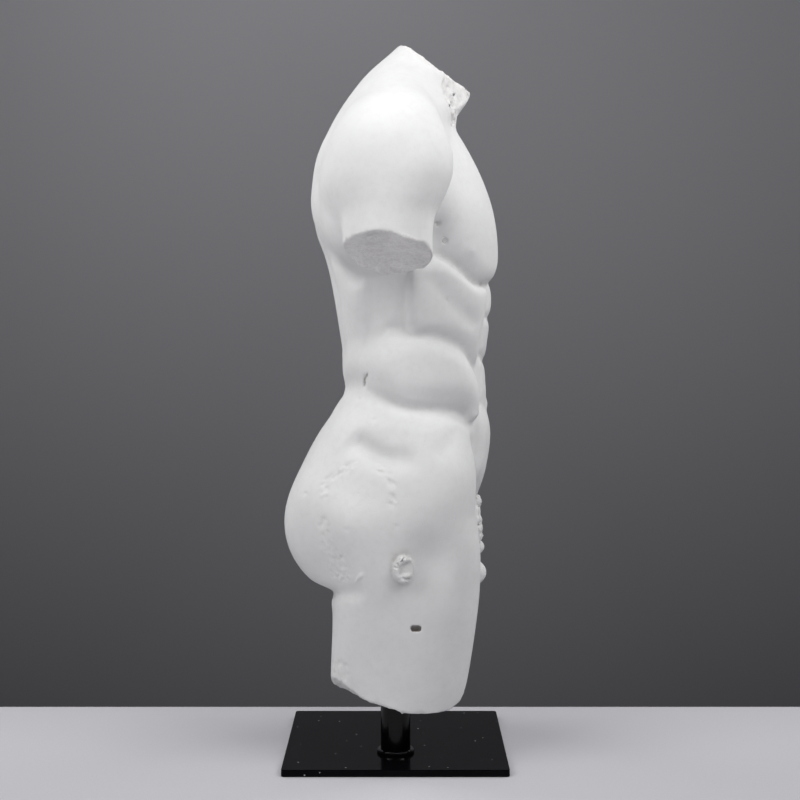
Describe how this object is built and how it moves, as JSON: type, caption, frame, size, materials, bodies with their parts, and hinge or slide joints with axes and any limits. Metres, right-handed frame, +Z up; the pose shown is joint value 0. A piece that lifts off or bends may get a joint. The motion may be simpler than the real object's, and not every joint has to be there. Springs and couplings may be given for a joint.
{
  "type": "torso sculpture",
  "caption": "Standing male torso of pale cast marble, without head or forearms, carried by one black steel post on a square steel plate.",
  "frame": {"origin": "centre of the plate's underside, on the surface it stands on", "axes": "+Z up, the figure faces -Y and its right side is -X"},
  "size_m": [0.4288, 0.2504, 0.8099],
  "materials": {
    "marble": "matte cast marble",
    "post_steel": "gloss black enamel",
    "collar_steel": "gloss black enamel",
    "plate_steel": "gloss black enamel"
  },
  "bodies": {
    "root": {"torso": "marble", "post": "post_steel", "collar": "collar_steel", "base_plate": "plate_steel"}
  },
  "joints": []
}
